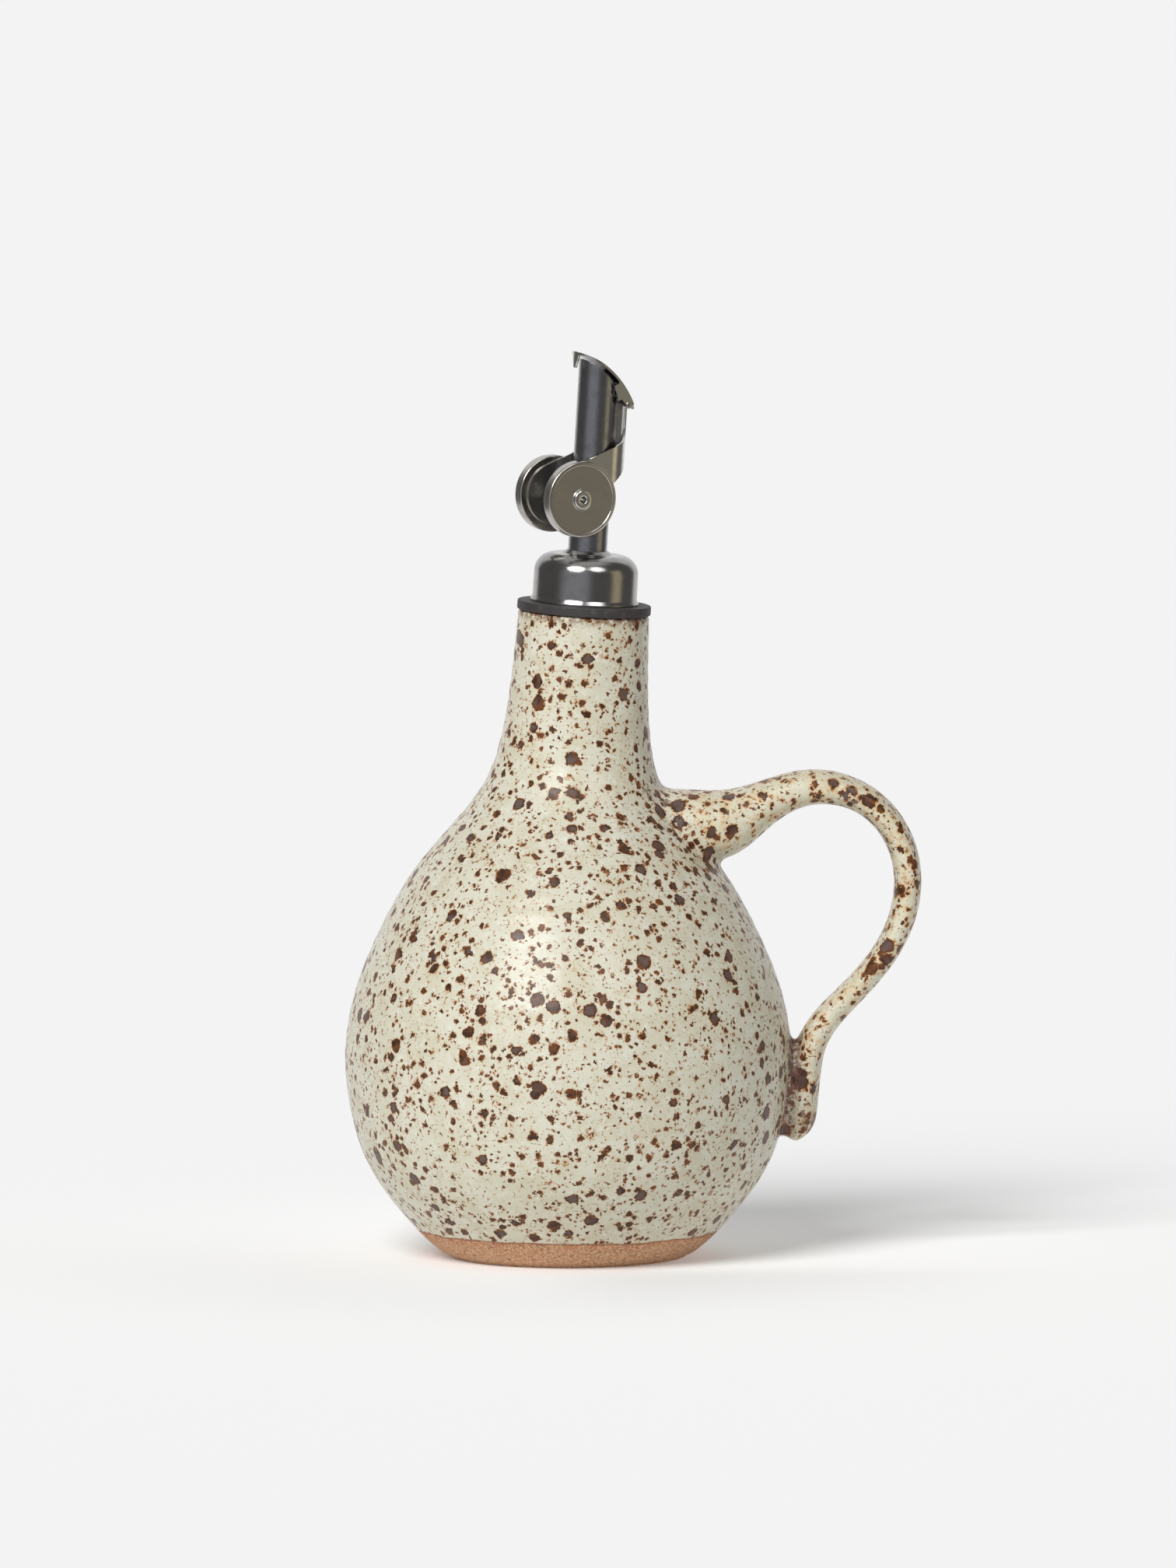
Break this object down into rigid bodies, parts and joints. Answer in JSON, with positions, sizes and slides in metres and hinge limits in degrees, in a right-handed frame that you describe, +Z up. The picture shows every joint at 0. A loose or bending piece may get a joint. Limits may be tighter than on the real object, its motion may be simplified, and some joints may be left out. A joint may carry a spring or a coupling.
{
  "type": "oil cruet",
  "caption": "Round stoneware oil bottle with a looped handle and a leaned neck, closed by a rubber stopper that carries a steel pourer with a weighted flap.",
  "frame": {"origin": "centre of the bottle's flat foot, on the surface that it stands on", "axes": "+Z up along the bottle's axis, +X towards the handle and the lean of the neck, +Y to the back as the picture is seen"},
  "size_m": [0.1486, 0.1154, 0.2338],
  "materials": {
    "stoneware": "satin glaze with brown iron speckles over a bare clay foot",
    "black_rubber": "matt moulded rubber",
    "polished_steel": "polished stainless steel",
    "tube_steel": "drawn stainless steel, satin",
    "sheet_steel": "folded stainless sheet, polished",
    "weight_steel": "turned steel, fine lathe rings"
  },
  "bodies": {
    "bottle": {"bottle": "stoneware", "handle": "stoneware"},
    "pourer": {"rubber_stopper": "black_rubber", "stopper_cap": "polished_steel", "pour_tube": "tube_steel", "air_tube": "tube_steel", "hinge_lug": "tube_steel", "hinge_pin": "polished_steel"},
    "flap": {"flap": "sheet_steel", "left_weight": "weight_steel", "right_weight": "weight_steel", "left_weight_rivet": "polished_steel", "right_weight_rivet": "polished_steel"}
  },
  "joints": [
    {"name": "stopper_pull", "type": "slide", "parent": "bottle", "child": "pourer", "axis": [0.0593, 0, 0.9982], "range_m": [0, 0.06]},
    {"name": "flap_hinge", "type": "hinge", "parent": "pourer", "child": "flap", "pos_m": [0.01281, 0.0031, 0.21997], "axis": [-0.484, 0.8746, 0.0288], "range_deg": [0, 7.5]}
  ]
}
